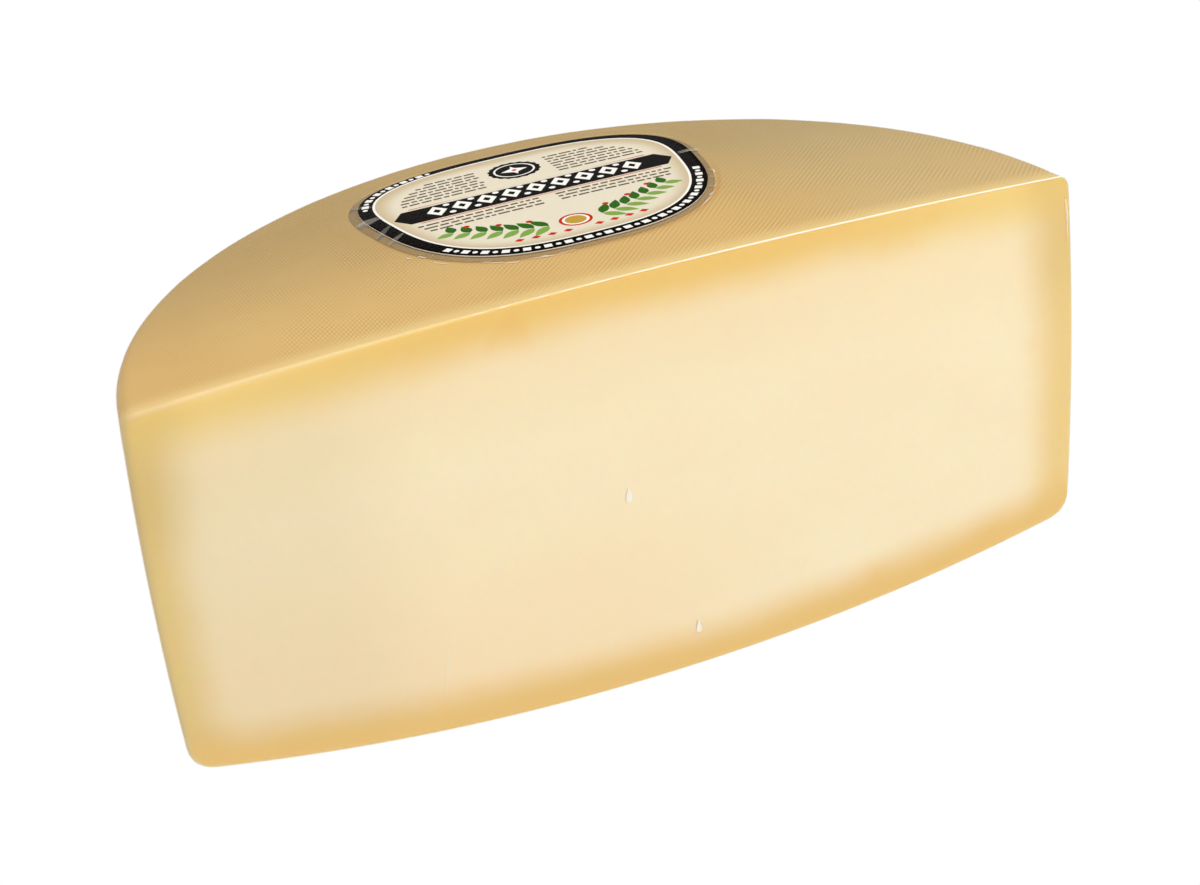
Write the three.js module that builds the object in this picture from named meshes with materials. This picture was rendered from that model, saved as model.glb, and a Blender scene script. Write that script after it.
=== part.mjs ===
// Half a wheel of hard grating cheese, in millimetres, +Z up.
//
// The cut face looks towards -Y and the diameter of the cut runs along X. The wheel was pressed in a cloth-lined
// hoop: its top is a low dome, its side bows out a little, and its underside bulges far more. A half wheel on such
// a bulge rocks back until its weight is over the spot that it touches, so it is built leaning back by that angle,
// on the small flat that its weight presses into the rind. An egg-shaped paper label lies on the top.
import * as THREE from 'three';

// The whole wheel, with its axis on Z and its middle height at Z = 0.
const wheelRadius = 153; // a 12 inch wheel
const wheelHeight = 142.1; // on the axis, from dome to dome
const topDrop = 4.57; // how far the top dome has fallen one wheel radius from its highest point
const topPower = 2.19; // 2 is a parabola, and more is flatter in the middle
const topPeakX = 41.5; // the top is highest to the right of the axis
const bottomDrop = 16.7;
const bottomPower = 2.07;
const bottomPeakX = -1.2;
const sideBow = 2.2; // how far the side draws in, half a wheel height from its fullest level
const sideFullestZ = -25.7;
const topRound = 4.6; // how far from a sharp top rim its rounding starts
const bottomRound = 7.3;

// The cut.
const cutEdgeRound = 1.5; // radius along the edge of the cut face

// The rest on the floor.
const leanBack = THREE.MathUtils.degToRad(5.7); // where the weight is over the spot that touches
const pressedFlat = 0.35; // depth of the small flat under the weight

// The label: an egg-like oval, wider towards the back of the wheel.
const labelCentre = new THREE.Vector2(1.8, 80.4);
const labelHalfWidth = 55.4;
const labelHalfDepth = 50.3;
const labelTaper = 0.16; // how much wider the back end is, as a share of the half width
const labelPower = 2.75; // 2 is an ellipse, and more has squarer shoulders
const labelThickness = 0.4;
const labelClearance = 0.3; // between the label and the rind

// How finely the surfaces are divided.
const domeSteps = 13;
const cornerSteps = 5;
const sideSteps = 8;
const turnSteps = 60;
const edgeSteps = 3;
const labelRings = 5;
const labelTurns = 64;

const distanceInRadii = (x, y, peakX) => Math.hypot(x - peakX, y) / wheelRadius;

const topZ = (x, y) => wheelHeight / 2 - topDrop * distanceInRadii(x, y, topPeakX) ** topPower;

const bottomZ = (x, y) => bottomDrop * distanceInRadii(x, y, bottomPeakX) ** bottomPower - wheelHeight / 2;

const sideRadius = (z) => wheelRadius - sideBow * ((z - sideFullestZ) / (wheelHeight / 2)) ** 2;

// Where a dome meets the side, as (distance from the axis, height).
function rim(domeZ) {
  let radius = wheelRadius;
  for (let pass = 0; pass < 8; pass += 1) {
    radius = sideRadius(domeZ(radius));
  }
  return new THREE.Vector2(radius, domeZ(radius));
}

// The rounding of a rim: it leaves the dome and the side a distance of round away from the sharp corner.
function rimCurve(domeZ, round, towardsMiddle) {
  const corner = rim(domeZ);
  const onDome = new THREE.Vector2(corner.x - round, domeZ(corner.x - round));
  const sideZ = corner.y + towardsMiddle * round;
  const onSide = new THREE.Vector2(sideRadius(sideZ), sideZ);
  return new THREE.QuadraticBezierCurve(onDome, corner, onSide);
}

// The wheel's section in the direction of one azimuth, from the axis at the bottom round to the axis at the top.
function sectionAt(azimuth) {
  const along = (surfaceZ) => (radius) => surfaceZ(radius * Math.cos(azimuth), radius * Math.sin(azimuth));
  const lowDome = along(bottomZ);
  const highDome = along(topZ);
  const lowRim = rimCurve(lowDome, bottomRound, 1);
  const highRim = rimCurve(highDome, topRound, -1);
  const section = [];
  for (let step = 0; step < domeSteps; step += 1) {
    const radius = (lowRim.v0.x * step) / domeSteps;
    section.push(new THREE.Vector2(radius, lowDome(radius)));
  }
  section.push(...lowRim.getPoints(cornerSteps));
  for (let step = 1; step < sideSteps; step += 1) {
    const z = THREE.MathUtils.lerp(lowRim.v2.y, highRim.v2.y, step / sideSteps);
    section.push(new THREE.Vector2(sideRadius(z), z));
  }
  section.push(...highRim.getPoints(cornerSteps).reverse());
  for (let step = domeSteps - 1; step >= 0; step -= 1) {
    const radius = (highRim.v0.x * step) / domeSteps;
    section.push(new THREE.Vector2(radius, highDome(radius)));
  }
  return section;
}

// A loop in the plane of the cut, drawn in by the same distance all the way round.
function drawnIn(loop, distance) {
  return loop.map((point, i) => {
    const before = loop[(i + loop.length - 1) % loop.length];
    const after = loop[(i + 1) % loop.length];
    const along = after.clone().sub(before).normalize();
    return new THREE.Vector2(point.x - along.y * distance, point.y + along.x * distance);
  });
}

// The half wheel as one closed surface: the rind is a fan of sections over half a turn, and the rounded edge and
// the flat cut face close it at the front.
function halfWheel() {
  const vertices = [];
  const triangles = [];
  const addVertex = (x, y, z) => vertices.push(x, y, z) / 3 - 1;
  const addQuad = (a, b, c, d) => triangles.push(a, b, c, a, c, d);

  const behindEdge = (y) => cutEdgeRound + (y * (wheelRadius - cutEdgeRound)) / wheelRadius;
  const bottomCentre = addVertex(0, cutEdgeRound, bottomZ(0, 0));
  const topCentre = addVertex(0, cutEdgeRound, topZ(0, 0));
  const fan = [];
  for (let turn = 0; turn <= turnSteps; turn += 1) {
    const azimuth = (Math.PI * turn) / turnSteps;
    const between = sectionAt(azimuth).slice(1, -1);
    const row = between.map(({ x: radius, y: z }) =>
      addVertex(radius * Math.cos(azimuth), behindEdge(radius * Math.sin(azimuth)), z));
    fan.push([bottomCentre, ...row, topCentre]);
  }
  for (let turn = 0; turn < turnSteps; turn += 1) {
    const [row, next] = [fan[turn], fan[turn + 1]];
    const last = row.length - 1;
    triangles.push(row[0], next[1], row[1]);
    for (let i = 1; i < last - 1; i += 1) {
      addQuad(row[i], next[i], next[i + 1], row[i + 1]);
    }
    triangles.push(row[last], row[last - 1], next[last - 1]);
  }

  const rightRow = fan[0];
  const leftRow = fan[turnSteps];
  let loop = [...rightRow, ...leftRow.slice(1, -1).reverse()];
  const outline = loop.map((i) => new THREE.Vector2(vertices[3 * i], vertices[3 * i + 2]));
  let facePoints = outline;
  for (let step = 1; step <= edgeSteps; step += 1) {
    const angle = (Math.PI / 2) * (step / edgeSteps);
    const y = cutEdgeRound * (1 - Math.sin(angle));
    facePoints = drawnIn(outline, cutEdgeRound * (1 - Math.cos(angle)));
    const inner = facePoints.map((point) => addVertex(point.x, y, point.y));
    loop.forEach((corner, i) => {
      const following = (i + 1) % loop.length;
      addQuad(corner, loop[following], inner[following], inner[i]);
    });
    loop = inner;
  }
  for (const [a, b, c] of THREE.ShapeUtils.triangulateShape(facePoints, [])) {
    triangles.push(loop[a], loop[b], loop[c]);
  }
  return closedGeometry(vertices, triangles);
}

// A point of the label, with share 1 at its edge and 0 at its centre.
function labelPoint(angle, share) {
  const rounded = (value) => Math.sign(value) * Math.abs(value) ** (2 / labelPower);
  const across = share * rounded(Math.cos(angle));
  const back = share * rounded(Math.sin(angle));
  const halfWidth = labelHalfWidth * (1 + labelTaper * back);
  return new THREE.Vector2(labelCentre.x + halfWidth * across, labelCentre.y + labelHalfDepth * back);
}

// The label follows the top dome, a hair above it, as a thin closed sheet.
function label() {
  const vertices = [];
  const triangles = [];
  const addVertex = (x, y, z) => vertices.push(x, y, z) / 3 - 1;
  const rimLoops = [];
  for (const upper of [false, true]) {
    const lift = labelClearance + (upper ? labelThickness : 0);
    const addFacet = (a, b, c) => (upper ? triangles.push(a, b, c) : triangles.push(a, c, b));
    const centre = addVertex(labelCentre.x, labelCentre.y, topZ(labelCentre.x, labelCentre.y) + lift);
    let inner = null;
    for (let ring = 1; ring <= labelRings; ring += 1) {
      const outer = [];
      for (let turn = 0; turn < labelTurns; turn += 1) {
        const point = labelPoint((2 * Math.PI * turn) / labelTurns, ring / labelRings);
        outer.push(addVertex(point.x, point.y, topZ(point.x, point.y) + lift));
      }
      for (let turn = 0; turn < labelTurns; turn += 1) {
        const following = (turn + 1) % labelTurns;
        if (inner) {
          addFacet(inner[turn], outer[turn], outer[following]);
          addFacet(inner[turn], outer[following], inner[following]);
        } else {
          addFacet(centre, outer[turn], outer[following]);
        }
      }
      inner = outer;
    }
    rimLoops.push(inner);
  }
  const [lowLoop, highLoop] = rimLoops;
  for (let turn = 0; turn < labelTurns; turn += 1) {
    const following = (turn + 1) % labelTurns;
    triangles.push(lowLoop[turn], lowLoop[following], highLoop[following]);
    triangles.push(lowLoop[turn], highLoop[following], highLoop[turn]);
  }
  return closedGeometry(vertices, triangles);
}

function closedGeometry(vertices, triangles) {
  const geometry = new THREE.BufferGeometry();
  geometry.setAttribute('position', new THREE.Float32BufferAttribute(vertices, 3));
  geometry.setIndex(triangles);
  geometry.rotateX(-leanBack);
  return geometry;
}

// Presses flat what would be lower than the floor, and says how high the floor is.
function pressOntoFloor(geometry) {
  geometry.computeBoundingBox();
  const floorZ = geometry.boundingBox.min.z + pressedFlat;
  const position = geometry.getAttribute('position');
  for (let i = 0; i < position.count; i += 1) {
    position.setZ(i, Math.max(position.getZ(i), floorZ));
  }
  geometry.computeBoundingBox();
  return floorZ;
}

function named(name, geometry, color, roughness) {
  geometry.computeVertexNormals();
  const mesh = new THREE.Mesh(geometry, new THREE.MeshStandardMaterial({ color, roughness, metalness: 0 }));
  mesh.name = name;
  return mesh;
}

const cheese = halfWheel();
const floorZ = pressOntoFloor(cheese);
const middle = cheese.boundingBox.getCenter(new THREE.Vector3());

const part = new THREE.Group();
part.add(named('cheese', cheese, 0xe3c078, 0.45));
part.add(named('label', label(), 0xe2d9c3, 0.35));
part.position.set(-middle.x, -middle.y, -floorZ);

export default part;
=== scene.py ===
"""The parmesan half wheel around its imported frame: the cheese, its label and the clear film over both."""

import math
import random

import bpy
import numpy as np
from mathutils import Matrix, Vector
from mathutils.geometry import delaunay_2d_cdt


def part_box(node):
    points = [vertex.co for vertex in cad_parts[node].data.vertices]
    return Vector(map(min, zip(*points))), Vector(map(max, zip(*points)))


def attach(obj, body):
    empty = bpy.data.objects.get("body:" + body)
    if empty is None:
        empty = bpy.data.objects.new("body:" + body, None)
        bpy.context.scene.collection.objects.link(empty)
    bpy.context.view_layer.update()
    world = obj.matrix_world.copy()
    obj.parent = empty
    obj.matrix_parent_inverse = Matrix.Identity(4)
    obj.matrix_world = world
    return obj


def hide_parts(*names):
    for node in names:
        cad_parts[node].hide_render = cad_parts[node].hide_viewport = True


bl_info = {
    "name": "Parmesan Half Wheel",
    "version": (1, 0, 0),
    "blender": (4, 5, 0),
    "location": "3D View > Sidebar > Cheese",
    "description": "Half a wheel of hard cheese in clear film, with a label on top",
    "category": "Object",
}

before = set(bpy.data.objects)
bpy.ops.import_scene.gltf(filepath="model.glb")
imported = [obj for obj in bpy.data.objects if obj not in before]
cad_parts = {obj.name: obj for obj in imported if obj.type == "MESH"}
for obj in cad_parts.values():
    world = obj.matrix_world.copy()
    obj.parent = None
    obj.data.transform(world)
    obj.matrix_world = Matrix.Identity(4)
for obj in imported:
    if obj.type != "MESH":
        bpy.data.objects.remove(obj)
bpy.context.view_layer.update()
MM = 0.001


# --------------------------------------------------------------------------------------------------
# Sizes and colours that a user may change
# --------------------------------------------------------------------------------------------------


def length(name, millimetres, description):
    """A size in millimetres, kept in metres."""
    return bpy.props.FloatProperty(
        name=name,
        description=description,
        default=millimetres * MM,
        unit="LENGTH",
        precision=5,
    )


def number(name, value, description):
    return bpy.props.FloatProperty(name=name, description=description, default=value)


def angle(name, degrees, description):
    return bpy.props.FloatProperty(
        name=name,
        description=description,
        default=math.radians(degrees),
        subtype="ANGLE",
    )


def count(name, value, description):
    return bpy.props.IntProperty(
        name=name, description=description, default=value, min=0
    )


def screen_to_light(value):
    """One channel of a screen colour, 0 to 255, as the share of light it stands for."""
    share = value / 255
    if share <= 0.04045:
        return share / 12.92
    return ((share + 0.055) / 1.055) ** 2.4


def colour(name, rgb, description):
    """A colour given as it looks on a screen, each channel from 0 to 255."""
    return bpy.props.FloatVectorProperty(
        name=name,
        description=description,
        default=[screen_to_light(channel) for channel in rgb],
        subtype="COLOR",
        size=3,
        min=0,
        max=1,
    )


class WheelSizes(bpy.types.PropertyGroup):
    """The whole wheel, with its axis on Z and the middle of its height at Z = 0."""

    radius: length("Radius", 153, "A 12 inch wheel")
    height: length("Height", 142.1, "On the axis, from dome to dome")
    top_drop: length("Top drop", 4.57, "Fall of the top dome one radius from its peak")
    top_power: number("Top power", 2.19, "2 is a parabola, more is flatter in the middle")
    top_peak: length("Top peak", 41.5, "The top is highest this far right of the axis")
    bottom_drop: length("Bottom drop", 16.7, "Rise of the underside one radius out")
    bottom_power: number("Bottom power", 2.07, "2 is a parabola")
    bottom_peak: length("Bottom peak", -1.2, "Lowest point, right of the axis")
    side_bow: length("Side bow", 2.2, "How far the side draws in")
    side_fullest: length("Fullest level", -25.7, "Height at which the side is fullest")
    top_round: length("Top rim round", 4.6, "From a sharp rim to where its rounding starts")
    bottom_round: length("Bottom rim round", 7.3, "From a sharp rim to where its rounding starts")
    edge_left: length("Cut edge, left", 2.6, "Radius of the cut's edge at the left end")
    edge_right: length("Cut edge, right", 0.75, "Radius of the cut's edge from the middle on")
    lean_back: angle("Lean back", 5.7, "The half wheel rocks back on its domed underside")


class WheelMesh(bpy.types.PropertyGroup):
    """How finely the half wheel is divided."""

    top_steps: count("Top steps", 96, "Rings on the top dome")
    bottom_steps: count("Bottom steps", 34, "Rings on the underside")
    corner_steps: count("Rim steps", 6, "Steps round each rim")
    side_steps: count("Side steps", 56, "Steps up the side")
    turn_steps: count("Turn steps", 236, "Steps over half a turn")
    edge_steps: count("Edge steps", 5, "Steps round the edge of the cut")
    face_pitch: length("Face pitch", 1.35, "Spacing of the points of the cut face")


class CheeseLook(bpy.types.PropertyGroup):
    """Relief and colours of the rind and of the cut face."""

    wave_height: length("Wave height", 0.45, "Slow unevenness of the rind")
    wave_length: length("Wave length", 34, "Size of one wave of the rind")
    dimple_height: length("Dimple height", 0.10, "Small dimples of the rind")
    dimple_length: length("Dimple length", 7, "Size of one dimple")
    drag_height: length("Drag height", 0.05, "Marks that the cutting wire dragged")
    drag_pitch: length("Drag pitch", 4.5, "Spacing of the drag marks")
    seed: count("Seed", 7, "Changes the unevenness")
    thread_pitch: length("Thread pitch", 1.04, "Spacing of the pressing cloth's threads")
    thread_turn: angle("Thread turn", 5, "The cloth's warp lies this far round the wheel's axis")
    rind: colour("Rind", (225, 191, 128), "Tan of the rind")
    rind_dark: colour("Rind, dark", (206, 164, 96), "Darker patches, and the marks that the cloth left")
    # Painted shade: the rind darkens towards the back, far from the cut.
    rind_back_shade: colour("Rind, back", (220, 223, 226), "Shade over the rind far from the cut")
    # Painted sheen: a greyish reflection of the film, duller towards the right end of the rind.
    rind_right_sheen: colour("Rind, right", (186, 180, 150), "Duller tone of the rind towards the right end")
    rind_edge: colour("Rind, edge", (238, 208, 142), "Next to the cut, where pale paste shows through")
    # Painted shadow line on the rind just outside the label's margin, where the film's tent comes down to
    # the rind.
    tent_shadow: colour("Tent shadow", (196, 132, 62), "Painted shadow line in front of the label")
    ivory: colour("Ivory", (253, 235, 200), "Middle of the cut face")
    ivory_dark: colour("Ivory, dark", (250, 229, 191), "Its faint clouds")
    ivory_low: colour("Ivory, low", (251, 225, 183), "Towards the underside, but not at the right")
    # Painted shade over the cut face towards its left end.
    paste_left_shade: colour("Paste, left", (245, 247, 245), "Shade over the cut face towards its left end")
    # Painted shade over the cut face at its two top corners.
    paste_ends_shade: colour("Paste, ends", (246, 244, 237), "Shade over the cut face at its two top corners")
    side_gold: colour("Gold, side", (238, 208, 141), "Dry paste next to the side")
    bottom_gold: colour("Gold, bottom", (235, 198, 124), "Dry paste next to the underside")
    top_gold: colour("Gold, top", (239, 201, 117), "Dry paste next to the top, in the middle")
    end_gold: colour("Gold, ends", (242, 211, 133), "Dry paste next to the top, at both ends")
    # The rounded edge's own gold, made paler as a painted highlight along it.
    edge_gold_highlight: colour("Gold, edge", (236, 208, 149), "Rounded edge of the cut")
    amber: colour("Amber", (238, 190, 100), "Deepest spots of the dry paste")


class LabelLook(bpy.types.PropertyGroup):
    """The label on the top dome, in the wheel's own frame."""

    centre_x: length("Centre X", 1.8, "Right of the wheel's axis")
    centre_y: length("Centre Y", 80.4, "Behind the cut")
    half_width: length("Half width", 55.4, "Across, halfway to the back")
    half_depth: length("Half depth", 50.3, "Along the view")
    taper: number("Taper", 0.16, "How much wider the back end is")
    power: number("Power", 2.75, "2 is an ellipse, more has squarer shoulders")
    thickness: length("Thickness", 0.4, "Of the label's solid")
    clearance: length("Clearance", 0.3, "Between the label and the rind")
    margin: length("Clear margin", 2.9, "Clear border round the print, at the sides")
    paper: colour("Paper", (232, 222, 200), "Cream field")
    paper_edge: colour("Paper, edge", (205, 184, 146), "Shading round the field")
    white: colour("White", (250, 247, 240), "White print")
    black: colour("Black", (6, 3, 2), "Black print")
    grey: colour("Grey", (92, 80, 62), "Fine grey lines")
    red: colour("Red", (196, 44, 22), "Red print")
    green: colour("Green", (46, 104, 26), "Dark leaves")
    leaf: colour("Leaf", (132, 168, 78), "Light leaves")
    brass: colour("Yellow", (196, 158, 62), "Yellow print")


class StageLook(bpy.types.PropertyGroup):
    """Floor, lights and the photograph's camera."""

    azimuth: angle("Azimuth", -18.73, "Camera's direction round the wheel's axis")
    elevation: angle("Elevation", 27.95, "Camera's height above the wheel's middle plane")
    roll: angle("Roll", -5.81, "Camera's turn about its own view")
    distance: length("Distance", 570.75, "From the camera to the wheel's middle")
    aside: length("Aside", -15.1, "Camera's shift to its own right")
    above: length("Above", 13.22, "Camera's shift to its own top")
    focal: number("Focal length", 55.5, "In millimetres, on a frame 36 mm wide")
    floor: colour("Floor", (255, 255, 255), "White floor that glows like a light table")


GROUPS = (WheelSizes, WheelMesh, CheeseLook, LabelLook, StageLook)


def settings(group):
    """The values of one group of properties, kept on the scene."""
    return getattr(bpy.context.scene, "cheese_" + group.__name__.lower())


# --------------------------------------------------------------------------------------------------
# The wheel's form
# --------------------------------------------------------------------------------------------------


def top_height(x, y):
    wheel = settings(WheelSizes)
    out = np.hypot(x - wheel.top_peak, y) / wheel.radius
    return wheel.height / 2 - wheel.top_drop * out**wheel.top_power


def bottom_height(x, y):
    wheel = settings(WheelSizes)
    out = np.hypot(x - wheel.bottom_peak, y) / wheel.radius
    return wheel.bottom_drop * out**wheel.bottom_power - wheel.height / 2


def side_radius(z):
    wheel = settings(WheelSizes)
    off = (z - wheel.side_fullest) / (wheel.height / 2)
    return wheel.radius - wheel.side_bow * off**2


RIM_PASSES = 8


def rim_curve(dome, azimuth, rounding, towards_middle, steps):
    """Points (distance from the axis, height) round one rim, from dome to side, for every azimuth.

    The dome and the side are curves, so their sharp corner is closed in on in a few passes.
    """
    wheel = settings(WheelSizes)

    def height(radius):
        return dome(radius * np.cos(azimuth), radius * np.sin(azimuth))

    radius = np.full_like(azimuth, wheel.radius)
    for _ in range(RIM_PASSES):
        radius = side_radius(height(radius))
    corner = np.stack([radius, height(radius)], -1)
    inner = radius - rounding
    on_dome = np.stack([inner, height(inner)], -1)
    side_z = corner[..., 1] + towards_middle * rounding
    on_side = np.stack([side_radius(side_z), side_z], -1)
    share = np.linspace(0, 1, steps + 1)[:, None, None]
    return (
        (1 - share) ** 2 * on_dome + 2 * share * (1 - share) * corner + share**2 * on_side
    )


def sections(azimuth, mesh):
    """The wheel's section at each azimuth, from the axis at the bottom to the axis at the top."""
    wheel = settings(WheelSizes)
    cos, sin = np.cos(azimuth), np.sin(azimuth)
    low = rim_curve(bottom_height, azimuth, wheel.bottom_round, 1, mesh.corner_steps)
    high = rim_curve(top_height, azimuth, wheel.top_round, -1, mesh.corner_steps)
    rows = []
    for step in range(mesh.bottom_steps):
        radius = low[0, :, 0] * step / mesh.bottom_steps
        rows.append(np.stack([radius, bottom_height(radius * cos, radius * sin)], -1))
    rows.extend(low)
    for step in range(1, mesh.side_steps):
        share = step / mesh.side_steps
        z = low[-1, :, 1] * (1 - share) + high[-1, :, 1] * share
        rows.append(np.stack([side_radius(z), z], -1))
    rows.extend(high[::-1])
    for step in range(mesh.top_steps - 1, -1, -1):
        radius = high[0, :, 0] * step / mesh.top_steps
        rows.append(np.stack([radius, top_height(radius * cos, radius * sin)], -1))
    return np.array(rows)


def edge_radius(x):
    """The radius of the cut's edge, softer towards the left end."""
    wheel = settings(WheelSizes)
    share = np.clip(-np.asarray(x) / wheel.radius, 0, 1)
    return wheel.edge_right + (wheel.edge_left - wheel.edge_right) * share**2


def half_wheel_points(mesh):
    """The rind as rows of points, one row a level of the section, in the wheel's own frame."""
    wheel = settings(WheelSizes)
    azimuth = np.linspace(0, math.pi, mesh.turn_steps + 1)
    rows = sections(azimuth, mesh)
    x = rows[..., 0] * np.cos(azimuth)
    y = rows[..., 0] * np.sin(azimuth)
    edge = edge_radius(x)
    y = edge + y * (wheel.radius - edge) / wheel.radius
    return np.stack([x, y, rows[..., 1]], -1)


def drawn_in(loop, distance):
    """A closed loop of (x, z), drawn in by a distance that may differ from point to point."""
    along = np.roll(loop, -1, 0) - np.roll(loop, 1, 0)
    along /= np.hypot(along[:, 0], along[:, 1])[:, None]
    inwards = np.stack([-along[:, 1], along[:, 0]], -1)
    return loop + inwards * np.asarray(distance)[:, None]


def filled(loop, pitch):
    """Triangles over the inside of a loop: (points, with the loop's own first; triangles).

    The points inside lie on a staggered grid and keep clear of the loop.
    """
    low, high = loop.min(0), loop.max(0)
    across = np.arange(low[0] + pitch / 2, high[0], pitch)
    up = np.arange(low[1] + pitch / 2, high[1], pitch)
    grid = np.stack(np.meshgrid(across, up), -1)
    grid[1::2, :, 0] += pitch / 2
    grid = grid.reshape(-1, 2)
    clear = drawn_in(loop, np.full(len(loop), 0.6 * pitch))
    grid = grid[inside(clear, grid)]
    points = np.concatenate([loop, grid])
    edges = [(i, (i + 1) % len(loop)) for i in range(len(loop))]
    flat = [Vector(point) for point in points.tolist()]
    found = delaunay_2d_cdt(flat, edges, [], 1, 1e-9)
    return np.array([tuple(point) for point in found[0]]), [tuple(face) for face in found[2]]


def inside(loop, points):
    """True for each point that lies inside the closed loop."""
    result = np.zeros(len(points), bool)
    x, y = points[:, 0], points[:, 1]
    for (ax, ay), (bx, by) in zip(loop, np.roll(loop, -1, 0)):
        if ay == by:
            continue
        crosses = (ay > y) != (by > y)
        result ^= crosses & (x < (bx - ax) * (y - ay) / (by - ay) + ax)
    return result


class HalfWheelShape:
    """The half wheel as one closed surface, with what its materials need to know of every point."""

    def __init__(self, mesh):
        rows = half_wheel_points(mesh)
        levels, turns = rows.shape[:2]
        between = rows[1:-1].reshape(-1, 3)
        self.points = [rows[0, :1], between, rows[-1, :1]]
        self.total = len(between) + 2
        self.faces = []
        self.kinds = []
        number_of = np.zeros((levels, turns), int)
        number_of[1:-1] = np.arange(1, len(between) + 1).reshape(levels - 2, turns)
        number_of[-1] = self.total - 1
        self.add_rind(number_of, mesh)
        loop = np.concatenate([number_of[:, 0], number_of[-2:0:-1, -1]])
        self.add_cut(loop, mesh)
        self.points = np.concatenate(self.points)

    def add_rind(self, number_of, mesh):
        top_from = len(number_of) - mesh.top_steps - mesh.corner_steps // 2
        side_from = mesh.bottom_steps + mesh.corner_steps // 2
        a, b = number_of[:-1, :-1], number_of[:-1, 1:]
        c, d = number_of[1:, 1:], number_of[1:, :-1]
        for level in range(len(number_of) - 1):
            kind = "bottom" if level < side_from else "side" if level < top_from else "top"
            quads = np.stack([a[level], b[level], c[level], d[level]], -1)
            if level == 0:
                quads = quads[:, [0, 2, 3]]
            elif level == len(number_of) - 2:
                quads = quads[:, :3]
            self.faces += [tuple(face) for face in quads.tolist()]
            self.kinds += [kind] * len(quads)

    def add_cut(self, loop, mesh):
        """The rounded edge of the cut and its flat face."""
        rim = np.concatenate(self.points)[loop]
        outline = rim[:, [0, 2]]
        radius = edge_radius(outline[:, 0])
        for step in range(1, mesh.edge_steps + 1):
            turn = math.pi / 2 * step / mesh.edge_steps
            flat = drawn_in(outline, radius * (1 - math.cos(turn)))
            y = radius * (1 - math.sin(turn))
            inner = self.add_points(np.stack([flat[:, 0], y, flat[:, 1]], -1))
            quads = np.stack([loop, np.roll(loop, -1), np.roll(inner, -1), inner], -1)
            self.faces += [tuple(face) for face in quads.tolist()]
            self.kinds += ["cut"] * len(quads)
            loop = inner
        face_points, triangles = filled(flat, mesh.face_pitch)
        within = face_points[len(flat) :]
        added = self.add_points(np.stack([within[:, 0], 0 * within[:, 0], within[:, 1]], -1))
        numbers = np.concatenate([loop, added])
        self.faces += [tuple(numbers[list(face)].tolist()) for face in triangles]
        self.kinds += ["cut"] * len(triangles)

    def add_points(self, points):
        first = self.total
        self.points.append(points)
        self.total += len(points)
        return np.arange(first, self.total)


# In front of the label its taper stops here, before its width would come to nothing.
LEAST_TAPER = 0.2


def label_share(x, y):
    """0 at the label's centre, 1 on its outline and more outside it."""
    look = settings(LabelLook)
    back = (y - look.centre_y) / look.half_depth
    half_width = look.half_width * np.maximum(1 + look.taper * back, LEAST_TAPER)
    across = (x - look.centre_x) / half_width
    return (np.abs(across) ** look.power + np.abs(back) ** look.power) ** (1 / look.power)


def label_gap(x, y):
    """Distance from the label's outline, about, more than 0 outside it."""
    look = settings(LabelLook)
    share = np.maximum(label_share(x, y), 1e-6)
    out = np.hypot(x - look.centre_x, y - look.centre_y)
    return out * (1 - 1 / share)


def smooth_step(value):
    value = np.clip(value, 0, 1)
    return value * value * (3 - 2 * value)


def wheel_place():
    """From the wheel's own frame to the part's: it leans back, with its top and its back on the CAD box."""
    wheel = settings(WheelSizes)
    lean = wheel.lean_back
    samples = 401
    z = np.linspace(-wheel.height / 2, wheel.height / 2, samples)
    back = side_radius(z) * math.cos(lean) + z * math.sin(lean)
    x = np.linspace(-wheel.radius, wheel.radius, samples)
    front = wheel.edge_right
    top = top_height(x, front) * math.cos(lean) - front * math.sin(lean)
    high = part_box("cheese")[1]
    shift = Matrix.Translation((0, high.y - back.max(), high.z - top.max()))
    return shift @ Matrix.Rotation(-lean, 4, "X")


# --------------------------------------------------------------------------------------------------
# Helpers for meshes and node trees
# --------------------------------------------------------------------------------------------------


def new_object(name, points, faces):
    """A smooth-shaded mesh object from points in the wheel's own frame."""
    mesh = bpy.data.meshes.new(name)
    mesh.from_pydata(np.asarray(points).tolist(), [], faces)
    mesh.transform(wheel_place())
    mesh.shade_smooth()
    mesh.update()
    obj = bpy.data.objects.new(name, mesh)
    bpy.context.scene.collection.objects.link(obj)
    return obj


def store(mesh, name, values, domain="POINT", kind="FLOAT"):
    attribute = mesh.attributes.new(name, kind, domain)
    attribute.data.foreach_set("value", np.asarray(values).ravel())


def add(tree, kind, inputs=(), **properties):
    """Adds a node; inputs gives, by name or number, a plain value or another node's output."""
    node = tree.nodes.new(kind)
    for name, value in properties.items():
        setattr(node, name, value)
    for key, value in dict(inputs).items():
        if isinstance(value, bpy.types.NodeSocket):
            tree.links.new(value, node.inputs[key])
        else:
            node.inputs[key].default_value = value
    return node


def math_node(tree, operation, *values, clamp=False):
    values = dict(enumerate(values))
    return add(tree, "ShaderNodeMath", values, operation=operation, use_clamp=clamp).outputs[0]


def product(tree, first, *others):
    """All the values multiplied."""
    for other in others:
        first = math_node(tree, "MULTIPLY", first, other)
    return first


def between(tree, share, first, second):
    """The number first where share is 0, second where it is 1."""
    return math_node(tree, "MULTIPLY_ADD", share, second - first, first)


def geometry_tree(name, inputs):
    """A Geometry Nodes tree with a geometry input, the named number inputs and a geometry output."""
    tree = bpy.data.node_groups.new(name, "GeometryNodeTree")
    tree.is_modifier = True
    tree.interface.new_socket("Geometry", in_out="INPUT", socket_type="NodeSocketGeometry")
    for label, kind in inputs.items():
        tree.interface.new_socket(label, in_out="INPUT", socket_type="NodeSocket" + kind)
    tree.interface.new_socket("Geometry", in_out="OUTPUT", socket_type="NodeSocketGeometry")
    return tree, tree.nodes.new("NodeGroupInput")


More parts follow.
